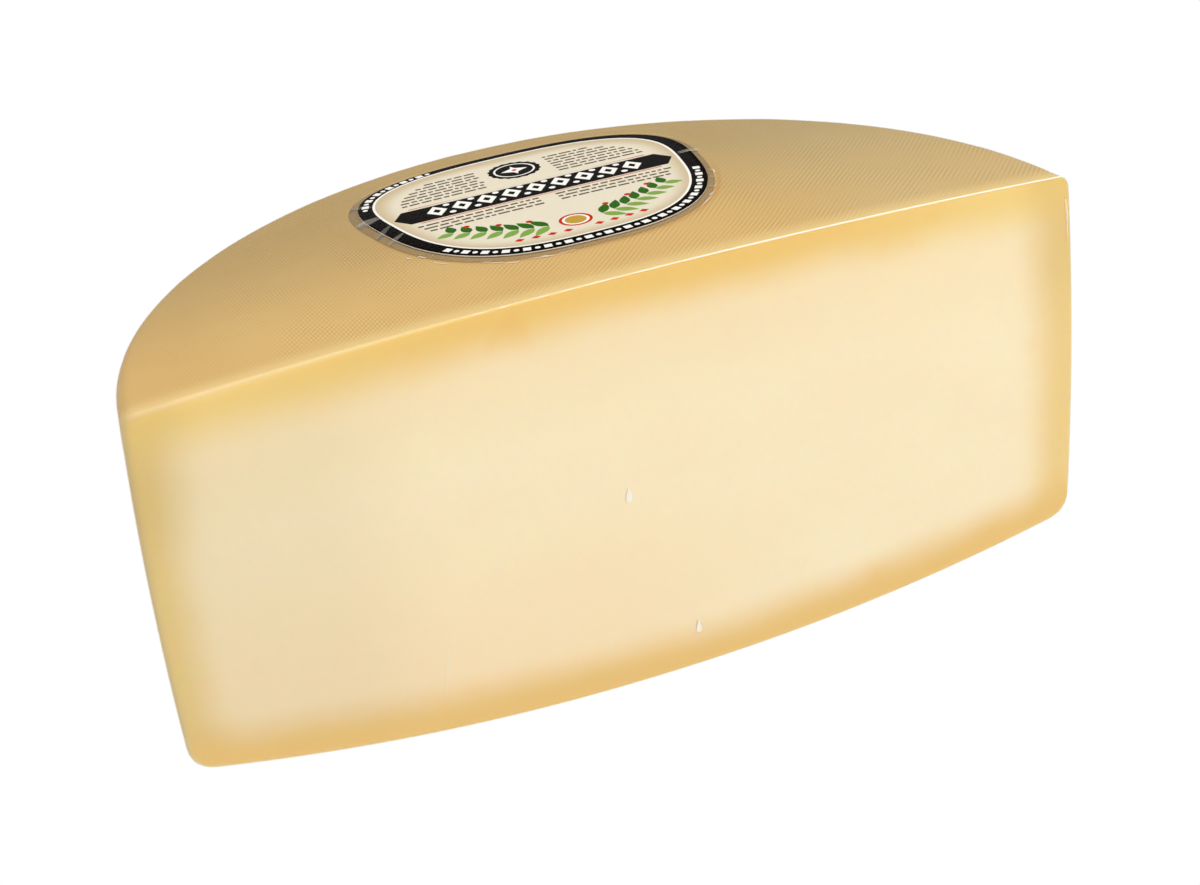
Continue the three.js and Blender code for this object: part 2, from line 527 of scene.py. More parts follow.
def finish_tree(tree, geometry, materials):
    """Realises what the tree made, gives it its materials and sends it out."""
    last = add(tree, "GeometryNodeRealizeInstances", {"Geometry": geometry}).outputs[0]
    for material, selection in materials:
        inputs = {"Geometry": last, "Material": material}
        if selection is not None:
            inputs["Selection"] = selection
        last = add(tree, "GeometryNodeSetMaterial", inputs).outputs[0]
    add(tree, "NodeGroupOutput", {0: last})


def run_tree(obj, tree, values):
    """Sets a tree's inputs by their identifiers, runs it on obj and keeps the result as a plain mesh."""
    modifier = obj.modifiers.new(tree.name, "NODES")
    modifier.node_group = tree
    sockets = {
        item.name: item.identifier
        for item in tree.interface.items_tree
        if item.in_out == "INPUT" and item.socket_type != "NodeSocketGeometry"
    }
    for name, value in values.items():
        modifier[sockets[name]] = value
    bpy.context.view_layer.update()
    graph = bpy.context.evaluated_depsgraph_get()
    mesh = bpy.data.meshes.new_from_object(
        obj.evaluated_get(graph), preserve_all_data_layers=True, depsgraph=graph
    )
    obj.modifiers.remove(modifier)
    old = obj.data
    obj.data = mesh
    bpy.data.meshes.remove(old)
    mesh.name = obj.name
    return obj


def new_material(name):
    material = bpy.data.materials.new(name)
    material.use_nodes = True
    material.node_tree.nodes.clear()
    return material, material.node_tree


def output(tree, surface):
    add(tree, "ShaderNodeOutputMaterial", {"Surface": surface})


def mixed(tree, share, first, second, blend="MIX"):
    """A colour between first and second."""
    node = tree.nodes.new("ShaderNodeMix")
    node.data_type = "RGBA"
    node.blend_type = blend
    colours = [socket for socket in node.inputs if socket.type == "RGBA"]
    for socket, value in ((node.inputs[0], share), (colours[0], first), (colours[1], second)):
        if isinstance(value, bpy.types.NodeSocket):
            tree.links.new(value, socket)
        elif socket.type == "RGBA":
            socket.default_value = (*value, 1)
        else:
            socket.default_value = value
    return node.outputs[2]


def attribute(tree, name):
    return add(tree, "ShaderNodeAttribute", attribute_name=name).outputs["Fac"]


def ramp(tree, value, low, high):
    """0 where value is low, 1 where it is high, smooth between."""
    inputs = {"Value": value, "From Min": low, "From Max": high}
    return add(tree, "ShaderNodeMapRange", inputs, interpolation_type="SMOOTHSTEP").outputs[0]


def zone(tree, place, low, high):
    """0 where a distance is low millimetres, 1 where it is high; place is an output or an attribute."""
    if isinstance(place, str):
        place = attribute(tree, place)
    return ramp(tree, place, low * MM, high * MM)


def noise(tree, vector, size, detail=2.0):
    """Noise from 0 to 1 whose features are about size millimetres across."""
    inputs = {"Vector": vector, "Scale": 1 / (size * MM), "Detail": detail}
    return add(tree, "ShaderNodeTexNoise", inputs).outputs[0]


def bumped(tree, height, strength, distance):
    """Shading of a relief too fine for the mesh, distance millimetres deep."""
    inputs = {"Height": height, "Strength": strength, "Distance": distance * MM}
    return add(tree, "ShaderNodeBump", inputs).outputs[0]


def object_place(tree, scale=(1, 1, 1)):
    """Object coordinates, stretched by scale."""
    place = add(tree, "ShaderNodeTexCoord").outputs["Object"]
    return add(tree, "ShaderNodeMapping", {"Vector": place, "Scale": scale}).outputs[0]


def across_place(tree):
    """How far to the right a point lies."""
    place = add(tree, "ShaderNodeTexCoord").outputs["Object"]
    return add(tree, "ShaderNodeSeparateXYZ", {0: place}).outputs[0]


# --------------------------------------------------------------------------------------------------
# The cheese
# --------------------------------------------------------------------------------------------------


RELIEF_NUMBERS = (
    "Wave Height",
    "Wave Length",
    "Dimple Height",
    "Dimple Length",
    "Drag Height",
    "Drag Pitch",
)
DRAG_STRETCH = (0.06, 1, 1)


def relief_tree(name, materials):
    """Sinks the rind into slow waves and dimples, and the cut into faint drag marks; nothing is lifted."""
    kinds = {label: "Float" for label in RELIEF_NUMBERS}
    tree, given = geometry_tree(name, {**kinds, "Seed": "Int"})
    socket = given.outputs
    place = tree.nodes.new("GeometryNodeInputPosition").outputs[0]

    def grain(size, stretch=(1, 1, 1)):
        stretched = {0: place, 1: stretch}
        vector = add(tree, "ShaderNodeVectorMath", stretched, operation="MULTIPLY").outputs[0]
        scale = math_node(tree, "DIVIDE", 1.0, size)
        inputs = {"Vector": vector, "W": socket["Seed"], "Scale": scale, "Detail": 2.0}
        return add(tree, "ShaderNodeTexNoise", inputs, noise_dimensions="4D").outputs[0]

    def mask(label):
        node = add(tree, "GeometryNodeInputNamedAttribute", {"Name": label}, data_type="FLOAT")
        return node.outputs["Attribute"]

    waves = product(tree, grain(socket["Wave Length"]), socket["Wave Height"])
    dimples = product(tree, grain(socket["Dimple Length"]), socket["Dimple Height"])
    on_rind = product(tree, math_node(tree, "ADD", waves, dimples), mask("on_rind"))
    drags = product(tree, grain(socket["Drag Pitch"], DRAG_STRETCH), socket["Drag Height"])
    on_cut = product(tree, drags, mask("on_cut"))
    lift = product(tree, math_node(tree, "ADD", on_rind, on_cut), -1.0)
    normal = tree.nodes.new("GeometryNodeInputNormal").outputs[0]
    offset = add(tree, "ShaderNodeVectorMath", {0: normal, "Scale": lift}, operation="SCALE").outputs[0]
    inputs = {"Geometry": socket["Geometry"], "Offset": offset}
    sunk = add(tree, "GeometryNodeSetPosition", inputs).outputs[0]

    new_place = tree.nodes.new("GeometryNodeInputPosition").outputs[0]
    x, y, z = add(tree, "ShaderNodeSeparateXYZ", {0: new_place}).outputs
    above_floor = math_node(tree, "MAXIMUM", z, 0.0)
    pressed = add(tree, "ShaderNodeCombineXYZ", {0: x, 1: y, 2: above_floor}).outputs[0]
    last = add(tree, "GeometryNodeSetPosition", {"Geometry": sunk, "Position": pressed}).outputs[0]

    is_cut = add(tree, "GeometryNodeInputNamedAttribute", {"Name": "is_cut"}, data_type="BOOLEAN")
    selections = (None, is_cut.outputs["Attribute"])
    finish_tree(tree, last, list(zip(materials, selections)))
    return tree


def carve(obj, materials):
    """Gives the relief and the materials, the rind's first and then the cut face's, to a half wheel."""
    look = settings(CheeseLook)
    values = {
        "Wave Height": look.wave_height,
        "Wave Length": look.wave_length,
        "Dimple Height": look.dimple_height,
        "Dimple Length": look.dimple_length,
        "Drag Height": look.drag_height,
        "Drag Pitch": look.drag_pitch,
        "Seed": look.seed,
    }
    return run_tree(obj, relief_tree(obj.name + " relief", materials), values)


RELIEF_FROM_CUT = 5 * MM
RELIEF_FROM_LABEL = 6 * MM
RELIEF_FROM_RIND = 4 * MM


def half_wheel_object(name, lift=None):
    """The half wheel's surface with its attributes and its cloth UV map; lift moves it off the cheese.

    The relief grows from nothing next to the cut and the label on the rind, and next to the rind on the
    cut face.
    """
    wheel = settings(WheelSizes)
    shape = HalfWheelShape(settings(WheelMesh))
    points = shape.points
    obj = new_object(name, points, shape.faces)
    mesh = obj.data
    x, y, z = points.T
    cut = np.array([kind == "cut" for kind in shape.kinds])
    side = np.array([kind == "side" for kind in shape.kinds])
    depths = {
        "side_depth": side_radius(z) - np.abs(x),
        "top_depth": top_height(x, y) - z,
        "bottom_depth": z - bottom_height(x, y),
        "label_gap": label_gap(x, y) + np.where(z > 0, 0, 1),
        "cut_gap": y,
    }
    inner = np.minimum(np.minimum(depths["side_depth"], depths["top_depth"]), depths["bottom_depth"])
    behind = smooth_step((y - edge_radius(x)) / RELIEF_FROM_CUT)
    clear_of_label = smooth_step(depths["label_gap"] / RELIEF_FROM_LABEL - 1)
    within = smooth_step((inner - wheel.edge_left) / RELIEF_FROM_RIND)
    for label, values in depths.items():
        store(mesh, label, values)
    store(mesh, "on_rind", behind * clear_of_label)
    store(mesh, "on_cut", np.where(y <= 0, within, 0))
    store(mesh, "is_cut", cut, "FACE", "BOOLEAN")

    corner = np.zeros(len(mesh.loops), int)
    mesh.loops.foreach_get("vertex_index", corner)
    sizes = np.zeros(len(mesh.polygons), int)
    mesh.polygons.foreach_get("loop_total", sizes)
    flat = np.stack([x, y], -1)
    round_side = np.stack([np.arctan2(y, x) * wheel.radius, z], -1)
    face_on = np.stack([x, z], -1)
    uv = flat[corner]
    uv = np.where(np.repeat(side, sizes)[:, None], round_side[corner], uv)
    uv = np.where(np.repeat(cut, sizes)[:, None], face_on[corner], uv)
    mesh.uv_layers.new(name="cloth").data.foreach_set("uv", uv.ravel())

    if lift is not None:
        normals = np.zeros(len(mesh.vertices) * 3)
        mesh.vertex_normals.foreach_get("vector", normals)
        places = np.zeros_like(normals)
        mesh.vertices.foreach_get("co", places)
        places += normals * np.repeat(lift(x, y, z), 3)
        mesh.vertices.foreach_set("co", places)
        mesh.update()
    return obj


WAVE_PERIOD = math.pi / 10
TWILL_TURN = math.radians(46.5)
CLOTH_PULL = 4 * MM
CLOTH_PULL_SCALE = 18.0


def cloth_height(tree):
    """The print of the twill cloth that the wheel was pressed in: below 0 in its marks, above 0 between.

    WAVE_PERIOD is the length of one band of Blender's wave texture at a scale of 1. The cloth is pulled a
    little out of line, the twill shows more towards the right, and the print fades at the left end and
    towards the back.
    """
    look = settings(CheeseLook)
    cloth = add(tree, "ShaderNodeUVMap", uv_map="cloth").outputs[0]
    inputs = {"Vector": cloth, "Scale": CLOTH_PULL_SCALE, "Detail": 1.0}
    drift = add(tree, "ShaderNodeTexNoise", inputs).outputs["Color"]
    inputs = {0: drift, 1: (CLOTH_PULL, CLOTH_PULL, 0), 2: cloth}
    pulled = add(tree, "ShaderNodeVectorMath", inputs, operation="MULTIPLY_ADD").outputs[0]

    def threads(turn, pitch, strength):
        turned = add(tree, "ShaderNodeMapping", {"Vector": pulled, "Rotation": (0, 0, -turn)}).outputs[0]
        inputs = {"Vector": turned, "Scale": WAVE_PERIOD / pitch}
        wave = add(tree, "ShaderNodeTexWave", inputs, wave_type="BANDS", bands_direction="X")
        centred = math_node(tree, "SUBTRACT", wave.outputs["Fac"], 0.5)
        return product(tree, centred, strength)

    across = across_place(tree)
    right = zone(tree, across, -80, 60)
    pitch, turn = look.thread_pitch, look.thread_turn
    warp = threads(turn, pitch, between(tree, right, 0.75, 0.25))
    twill = threads(turn - TWILL_TURN, pitch * math.sqrt(2), between(tree, right, 0.75, 1.0))
    uneven = ramp(tree, noise(tree, object_place(tree), 16, 1), 0.3, 0.7)
    depth = between(tree, uneven, 0.25, 1.55)
    at_left = between(tree, zone(tree, across, -122, -82), 0.22, 1.0)
    at_back = between(tree, zone(tree, "cut_gap", 45, 100), 1.0, 0.55)
    return product(tree, depth, at_left, at_back, math_node(tree, "ADD", warp, twill))


def rind_material():
    """Tan rind with the cloth's print and slow patches of tone.

    It darkens towards the back as painted shade, is duller towards the right end as a painted greyish
    sheen, is paler next to the cut, and a painted shadow line runs in front of the label.
    """
    look = settings(CheeseLook)
    material, tree = new_material("rind")
    weave = cloth_height(tree)
    patches = noise(tree, object_place(tree), 50, 3)
    shade = math_node(tree, "MULTIPLY_ADD", weave, 0.6, 0.25)
    shade = math_node(tree, "ADD", shade, product(tree, patches, 0.6), clamp=True)
    base = mixed(tree, shade, look.rind_dark, look.rind)
    # Painted shade, deeper towards the back of the rind.
    base = mixed(tree, zone(tree, "cut_gap", 5, 110), base, look.rind_back_shade, "MULTIPLY")
    # Painted sheen: the film's greyish reflection dulls the rind towards its right end.
    right = product(tree, zone(tree, across_place(tree), 35, 105), 0.25)
    base = mixed(tree, right, base, look.rind_right_sheen)
    edge = product(tree, zone(tree, "cut_gap", 11, 0.5), 0.8)
    base = mixed(tree, edge, base, look.rind_edge)
    # Painted shadow line in front of the label, just outside its clear margin.
    near = zone(tree, "label_gap", 2.8, 3.6)
    far = zone(tree, "label_gap", 5.4, 3.6)
    front = zone(tree, "cut_gap", 85, 55)
    base = mixed(tree, product(tree, near, far, front, 0.42), base, look.tent_shadow)
    bump = bumped(tree, weave, 0.4, 0.2)
    inputs = {
        "Base Color": base,
        "Roughness": 0.55,
        "Normal": bump,
        "Specular IOR Level": 0.2,
    }
    output(tree, add(tree, "ShaderNodeBsdfPrincipled", inputs).outputs[0])
    return material


# The dry paste next to each part of the rind: gold to the first depth, in millimetres, and ivory from the
# second. Its strip is narrower towards the left end, and both depths drift a little from place to place.
DRY_DEPTHS = {"side_depth": (4, 21), "bottom_depth": (4, 21), "top_depth": (2.5, 20)}
NARROWER_LEFT = 2.5 * MM
DRY_DRIFT = 3 * MM


def ivory_base(tree, golds):
    """The middle of the cut face, with faint clouds: warmer low down, and faintly gold towards the top."""
    look = settings(CheeseLook)
    clouds = noise(tree, object_place(tree, (0.5, 1, 1)), 20, 4)
    base = mixed(tree, clouds, look.ivory_dark, look.ivory)
    not_right = zone(tree, across_place(tree), 60, -20)
    low = product(tree, zone(tree, "bottom_depth", 85, 20), 0.8, not_right)
    base = mixed(tree, low, base, look.ivory_low)
    faint_top = product(tree, zone(tree, "top_depth", 50, 12), 0.2)
    return mixed(tree, faint_top, base, golds["top_depth"])


def dried(tree, base, golds):
    """The gold of the dry paste over base, with its amber spots."""
    place = object_place(tree)
    drift = between(tree, noise(tree, place, 30, 2), -DRY_DRIFT, DRY_DRIFT)
    narrower = product(tree, zone(tree, across_place(tree), 0, -100), NARROWER_LEFT)
    dry = 0.0
    for name, (strong, faint) in DRY_DEPTHS.items():
        depth = math_node(tree, "ADD", attribute(tree, name), drift)
        if name == "side_depth":
            depth = math_node(tree, "ADD", depth, narrower)
        near = zone(tree, depth, faint, strong)
        base = mixed(tree, near, base, golds[name])
        dry = math_node(tree, "MAXIMUM", near, dry)
    spots = ramp(tree, noise(tree, place, 18, 1), 0.60, 0.80)
    return mixed(tree, product(tree, spots, dry, 0.45), base, settings(CheeseLook).amber)


def paste_material():
    """Ivory paste that dries to gold next to the rind, with painted shade at its left end and its top
    corners.
    """
    look = settings(CheeseLook)
    material, tree = new_material("paste")
    ends = zone(tree, "side_depth", 100, 20)
    golds = {
        "side_depth": look.side_gold,
        "bottom_depth": look.bottom_gold,
        "top_depth": mixed(tree, ends, look.top_gold, look.end_gold),
    }
    base = dried(tree, ivory_base(tree, golds), golds)
    # The rounded edge of the cut: its own gold, made paler as a painted highlight.
    base = mixed(tree, zone(tree, "cut_gap", 0, 0.6), base, look.edge_gold_highlight)
    # Painted shade towards the left end of the cut face, fading out next to the top and the underside.
    at_left = zone(tree, across_place(tree), -60, -105)
    shaded = product(tree, at_left, zone(tree, "top_depth", -10, 35), zone(tree, "bottom_depth", 2, 18))
    base = mixed(tree, shaded, base, look.paste_left_shade, "MULTIPLY")
    # Painted shade at the cut face's two top corners.
    corner = product(tree, zone(tree, "side_depth", 24, 6), zone(tree, "top_depth", 60, 20))
    base = mixed(tree, corner, base, look.paste_ends_shade, "MULTIPLY")
    drags = noise(tree, object_place(tree, (0.05, 1, 1)), 3, 3)
    bump = bumped(tree, drags, 0.12, 0.3)
    inputs = {
        "Base Color": base,
        "Roughness": 0.5,
        "Normal": bump,
        "Subsurface Weight": 0.35,
        "Subsurface Radius": (1.0, 0.6, 0.25),
        "Subsurface Scale": 0.003,
        "Specular IOR Level": 0.25,
    }
    output(tree, add(tree, "ShaderNodeBsdfPrincipled", inputs).outputs[0])
    return material


class CHEESE_OT_half_wheel(bpy.types.Operator):
    """Make the half wheel with its rind and its cut face"""

    bl_idname = "cheese.half_wheel"
    bl_label = "Half wheel"

    def execute(self, context):
        piece = half_wheel_object("half_wheel")
        carve(piece, [rind_material(), paste_material()])
        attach(piece, "root")
        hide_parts("cheese")
        return {"FINISHED"}


# --------------------------------------------------------------------------------------------------
# The film
# --------------------------------------------------------------------------------------------------

FILM_GAP = 0.25 * MM
FILM_OVER_LABEL = 0.25 * MM
FILM_GLOSS = 0.2


def film_lift(x, y, z):
    """How far the film lies off the cheese: tight, but tented over the label and down its clear margin."""
    look = settings(LabelLook)
    over = look.clearance + look.thickness + FILM_OVER_LABEL
    down = smooth_step(1 - label_gap(x, y) / look.margin)
    return FILM_GAP + np.where(z > 0, (over - FILM_GAP) * down, 0)


def film_material():
    """Clear film: what is behind shows through, with a gloss that grows at grazing angles."""
    material, tree = new_material("film")
    clear = add(tree, "ShaderNodeBsdfTransparent", {"Color": (0.98, 0.98, 0.975, 1)}).outputs[0]
    gloss = add(tree, "ShaderNodeBsdfGlossy", {"Roughness": 0.14}).outputs[0]
    share = product(tree, add(tree, "ShaderNodeFresnel", {"IOR": 1.45}).outputs[0], FILM_GLOSS)
    output(tree, add(tree, "ShaderNodeMixShader", {0: share, 1: clear, 2: gloss}).outputs[0])
    return material


class CHEESE_OT_film(bpy.types.Operator):
    """Draw the clear film over the cheese and its label"""

    bl_idname = "cheese.film"
    bl_label = "Clear film"

    def execute(self, context):
        piece = half_wheel_object("film", film_lift)
        carve(piece, [film_material()])
        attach(piece, "root")
        return {"FINISHED"}


# --------------------------------------------------------------------------------------------------
# The label. Its print is laid out flat, in millimetres from its centre, with the back of the wheel up.
# --------------------------------------------------------------------------------------------------

INKS = ("paper", "white", "black", "grey", "red", "green", "leaf", "brass")
OUTLINE_STEPS = 160
RIM_FRONT = 5.6
RIM_SIDE = 5.2
RIM_BACK = 3.4
KEYLINE_WIDTH = 0.85
PRINT_PITCH = 4.0
BAND_LEVEL = 6.5
BAND_HEIGHT = 13.0
BAND_REACH = 45.0
LOZENGE_PITCH = 8.6
LINE_PITCH = 2.9
LINE_HEIGHT = 1.2
WORD_GAP = 0.75
MEDALLION_LEVEL = 29.0
ROSETTE_LEVEL = -31.0


def egg(inset=0.0, steps=OUTLINE_STEPS):
    """The label's outline, drawn in by inset, which may differ from point to point."""
    look = settings(LabelLook)
    turn = np.linspace(0, 2 * math.pi, steps, endpoint=False)
    across = np.sign(np.cos(turn)) * np.abs(np.cos(turn)) ** (2 / look.power)
    back = np.sign(np.sin(turn)) * np.abs(np.sin(turn)) ** (2 / look.power)
    half_width = look.half_width * (1 + look.taper * back)
    loop = np.stack([half_width * across, look.half_depth * back], -1) / MM
    return drawn_in(loop, np.broadcast_to(inset, steps))


def rim_width(steps=OUTLINE_STEPS):
    """The width of the black rim, least at the back and most at the sides."""
    turn = np.linspace(0, 2 * math.pi, steps, endpoint=False)
    end = np.where(np.sin(turn) < 0, RIM_FRONT, RIM_BACK)
    return RIM_SIDE + (end - RIM_SIDE) * np.sin(turn) ** 2


def disc(x, y, radius, steps=24, scallop=0.0, lobes=0):
    turn = np.linspace(0, 2 * math.pi, steps, endpoint=False)
    radius = radius * (1 + scallop * np.cos(lobes * turn))
    return np.stack([x + radius * np.cos(turn), y + radius * np.sin(turn)], -1)


def lozenge(x, y, width, height):
    return np.array([(x - width / 2, y), (x, y - height / 2), (x + width / 2, y), (x, y + height / 2)])


def bar(left, right, low, high):
    return np.array([(left, low), (right, low), (right, high), (left, high)])


def leaf(x, y, size, width, degrees):
    """A pointed leaf that grows from (x, y) in one direction."""
    along = np.linspace(0, 1, 6)
    half = width / 2 * np.sin(math.pi * along**0.8)
    one_side = np.stack([along, -half / size], -1)
    other_side = np.stack([along, half / size], -1)[-2:0:-1]
    outline = np.concatenate([one_side, other_side])
    cos, sin = math.cos(math.radians(degrees)), math.sin(math.radians(degrees))
    return np.array([x, y]) + size * outline @ np.array([[cos, sin], [-sin, cos]])


def spray(side):
    """A leafy spray in front of the band, which rises from the middle to one side."""
    shapes = []
    leaves = 7
    for i in range(leaves):
        share = i / (leaves - 1)
        x = side * (9 + 27 * share)
        y = -31 + 14 * share**1.4
        lean = 90 - side * (80 - 26 * share)
        for turn, ink in ((52, "green"), (-52, "leaf")):
            shapes.append((leaf(x, y, 8.8 - 2.4 * share, 3.6, lean + side * turn), ink))
    return shapes


def berries(side):
    """Three red dots along one side's spray."""
    return [(disc(side * x, y, 1.1, 10), "red") for x, y in ((13, -23.5), (22, -20), (31, -14.5))]


def word_bars(rng, left, right, level, height, ink):
    """Bars of uneven length on one line."""
    shapes = []
    x = left
    while x < right - 1:
        end = min(x + rng.uniform(1.2, 4.6), right)
        shapes.append((bar(x, end, level, level + height), ink))
        x = end + WORD_GAP
    return shapes


def medallion(x, y):
    """A dark scalloped round with a pale ring and a pale cross of lozenges."""
    return [
        (disc(x, y, 9.0, 72, 0.035, 18), "black"),
        (disc(x, y, 7.2, 40), "white"),
        (disc(x, y, 6.5, 40), "black"),
        (lozenge(x, y, 9.6, 5.0), "white"),
        (lozenge(x, y, 3.2, 9.0), "white"),
        (lozenge(x, y, 2.2, 2.2), "red"),
    ]


def plaque():
    """A dark band with pointed ends, a row of pale lozenges, and thin red lines along it."""
    low, high = BAND_LEVEL - BAND_HEIGHT / 2, BAND_LEVEL + BAND_HEIGHT / 2
    tip = BAND_REACH + 4
    lower = [(-BAND_REACH, low), (BAND_REACH, low), (tip, BAND_LEVEL)]
    upper = [(BAND_REACH, high), (-BAND_REACH, high), (-tip, BAND_LEVEL)]
    shapes = [(np.array(lower + upper), "black")]
    for i in range(-4, 5):
        x = i * LOZENGE_PITCH
        shapes.append((lozenge(x, BAND_LEVEL, 7.0, 10.0), "white"))
        shapes.append((lozenge(x, BAND_LEVEL, 2.8, 4.0), "black"))
        if i < 4:
            for y in (BAND_LEVEL - 4.0, BAND_LEVEL + 4.0):
                shapes.append((disc(x + LOZENGE_PITCH / 2, y, 1.15, 12), "white"))
    for level in (low - 1.5, high + 0.9):
        shapes.append((bar(-42, 42, level, level + 0.6), "red"))
    return shapes


def grey_lines(rng, side):
    """Fine lines of bars on one side: seven behind the band, beside the medallion, and three before it."""
    shapes = []
    for row in range(7):
        reach = 43.0 - 0.35 * row * row
        left, right = sorted((side * 12.5, side * reach))
        shapes += word_bars(rng, left, right, 17.6 + LINE_PITCH * row, LINE_HEIGHT, "grey")
    for row in range(3):
        left, right = sorted((side * 3.0, side * (44.0 - 1.2 * row)))
        shapes += word_bars(rng, left, right, -5.0 - LINE_PITCH * row, LINE_HEIGHT, "grey")
    return shapes


def rosette(x, y):
    """A ringed disc between the two sprays."""
    return [(disc(x, y, 5.4, 36), "red"), (disc(x, y, 4.4, 32), "white"), (disc(x, y, 3.5, 28), "brass")]


def lozenge_row():
    """Small red lozenges in a shallow arc along the front, with a gap in the middle."""
    places = [i for i in range(-4, 5) if i]
    return [(lozenge(i * 5.2, -38.5 + 0.1 * i * i, 3.4, 2.6), "red") for i in places]


def print_shapes():
    """Every printed shape with its ink; a later shape lies over an earlier one."""
    rng = random.Random(21)
    rim = rim_width()
    shapes = [
        (egg(), "black"),
        (egg(rim), "white"),
        (egg(rim + KEYLINE_WIDTH), "paper"),
    ]
    shapes += plaque() + medallion(0, MEDALLION_LEVEL)
    for side in (-1, 1):
        shapes += grey_lines(rng, side) + spray(side) + berries(side)
    return shapes + rosette(0, ROSETTE_LEVEL) + lozenge_row()


def partition(shapes):
    """The label's plan as triangles, each with the ink of the last shape that covers it."""
    points = []
    edges = []
    for loop, _ in shapes:
        first = len(points)
        points += [Vector(point) for point in loop.tolist()]
        edges += [(first + i, first + (i + 1) % len(loop)) for i in range(len(loop))]
    low, high = egg().min(0), egg().max(0)
    grid = np.stack(np.meshgrid(*(np.arange(a, b, PRINT_PITCH) for a, b in zip(low, high))), -1)
    grid = grid.reshape(-1, 2)
    grid = grid[inside(egg(1.0), grid)]
    points += [Vector(point) for point in grid.tolist()]
    found = delaunay_2d_cdt(points, edges, [], 0, 1e-6)
    plan = np.array([tuple(point) for point in found[0]])
    triangles = np.array([tuple(face) for face in found[2]])
    centres = plan[triangles].mean(1)
    ink = np.full(len(triangles), -1)
    for loop, name in shapes:
        ink[inside(loop, centres)] = INKS.index(name)
    return plan, triangles[ink >= 0], ink[ink >= 0]


def over_dome(plan, lift):
    """Points of the flat layout, in millimetres, laid on the top dome."""
    look = settings(LabelLook)
    x = plan[:, 0] * MM + look.centre_x
    y = plan[:, 1] * MM + look.centre_y
    return np.stack([x, y, top_height(x, y) + lift], -1)


def rim_edges(triangles):
    """The edges, as (from, to), that only one triangle has."""
    edges = np.concatenate([triangles[:, [0, 1]], triangles[:, [1, 2]], triangles[:, [2, 0]]])
    known = {tuple(edge) for edge in edges.tolist()}
    return [edge for edge in known if edge[::-1] not in known]


def ink_material(name):
    """One ink on fibrous paper; the bare paper is shaded towards the rim."""
    look = settings(LabelLook)
    material, tree = new_material("print_" + name)
    base = getattr(look, name)
    if name == "paper":
        shading = product(tree, zone(tree, "edge_distance", 13, 5.5), 0.9)
        base = mixed(tree, shading, look.paper, look.paper_edge)
    fibre = noise(tree, object_place(tree), 1.2, 3)
    worn = mixed(tree, product(tree, fibre, 0.04), base, look.grey)
    bump = bumped(tree, fibre, 0.1, 0.1)
    inputs = {"Base Color": worn, "Roughness": 0.6, "Normal": bump, "Specular IOR Level": 0.0}
    output(tree, add(tree, "ShaderNodeBsdfPrincipled", inputs).outputs[0])
    return material


def label_sheet():
    """The printed label as one thin closed sheet whose top is divided by its print."""
    look = settings(LabelLook)
    plan, triangles, ink = partition(print_shapes())
    upper = over_dome(plan, look.clearance + look.thickness)
    lower = over_dome(plan, look.clearance)
    total = len(plan)
    faces = [tuple(face) for face in triangles.tolist()]
    faces += [(a + total, c + total, b + total) for a, b, c in triangles.tolist()]
    rim = rim_edges(triangles)
    faces += [(b, a, a + total, b + total) for a, b in rim]
    obj = new_object("label_print", np.concatenate([upper, lower]), faces)
    for name in INKS:
        obj.data.materials.append(ink_material(name))
    white = INKS.index("white")
    inks = np.concatenate([ink, np.full(len(triangles) + len(rim), white)])
    obj.data.polygons.foreach_set("material_index", inks.astype(np.int32))
    gap = -label_gap(*over_dome(plan, 0).T[:2])
    store(obj.data, "edge_distance", np.concatenate([gap, gap]))
    return obj


def beads_tree(material):
    """Bars and beads in turn along a closed path, lying on the label."""
    numbers = ("Spacing", "Bar Length", "Bar Width", "Bead Radius", "Depth")
    tree, given = geometry_tree("Rim beads", {label: "Float" for label in numbers})
    socket = given.outputs
    curve = add(tree, "GeometryNodeMeshToCurve", {0: socket["Geometry"]}).outputs[0]
    inputs = {"Curve": curve, "Length": socket["Spacing"]}
    places = add(tree, "GeometryNodeCurveToPoints", inputs, mode="LENGTH")
    inputs = {0: socket["Bar Length"], 1: socket["Bar Width"], 2: socket["Depth"]}
    size = add(tree, "ShaderNodeCombineXYZ", inputs).outputs[0]
    strip = add(tree, "GeometryNodeMeshCube", {"Size": size}).outputs[0]
    inputs = {"Vertices": 12, "Radius": socket["Bead Radius"], "Depth": socket["Depth"]}
    bead = add(tree, "GeometryNodeMeshCylinder", inputs).outputs[0]
    kit = tree.nodes.new("GeometryNodeGeometryToInstance")
    tree.links.new(bead, kit.inputs[0])
    tree.links.new(strip, kit.inputs[0])
    index = tree.nodes.new("GeometryNodeInputIndex").outputs[0]
    which = math_node(tree, "MODULO", index, 2.0)
    up = add(tree, "GeometryNodeInputNamedAttribute", {"Name": "up"}, data_type="FLOAT_VECTOR")
    align = "FunctionNodeAlignRotationToVector"
    upright = add(tree, align, {"Vector": up.outputs["Attribute"]}, axis="Z").outputs[0]
    inputs = {"Rotation": upright, "Vector": places.outputs["Tangent"]}
    along = add(tree, align, inputs, axis="X", pivot_axis="Z").outputs[0]
    inputs = {
        "Points": places.outputs["Points"],
        "Instance": kit.outputs[0],
        "Pick Instance": True,
        "Instance Index": which,
        "Rotation": along,
    }
    finish_tree(tree, add(tree, "GeometryNodeInstanceOnPoints", inputs).outputs[0], [(material, None)])
    return tree


# Where the rim's beads start and end, in degrees of the outline's parameter from the label's right end.
BEAD_ARCS = ((212, 354), (107, 158))
PER_DEGREE = 2
FINE_STEPS = 360 * PER_DEGREE


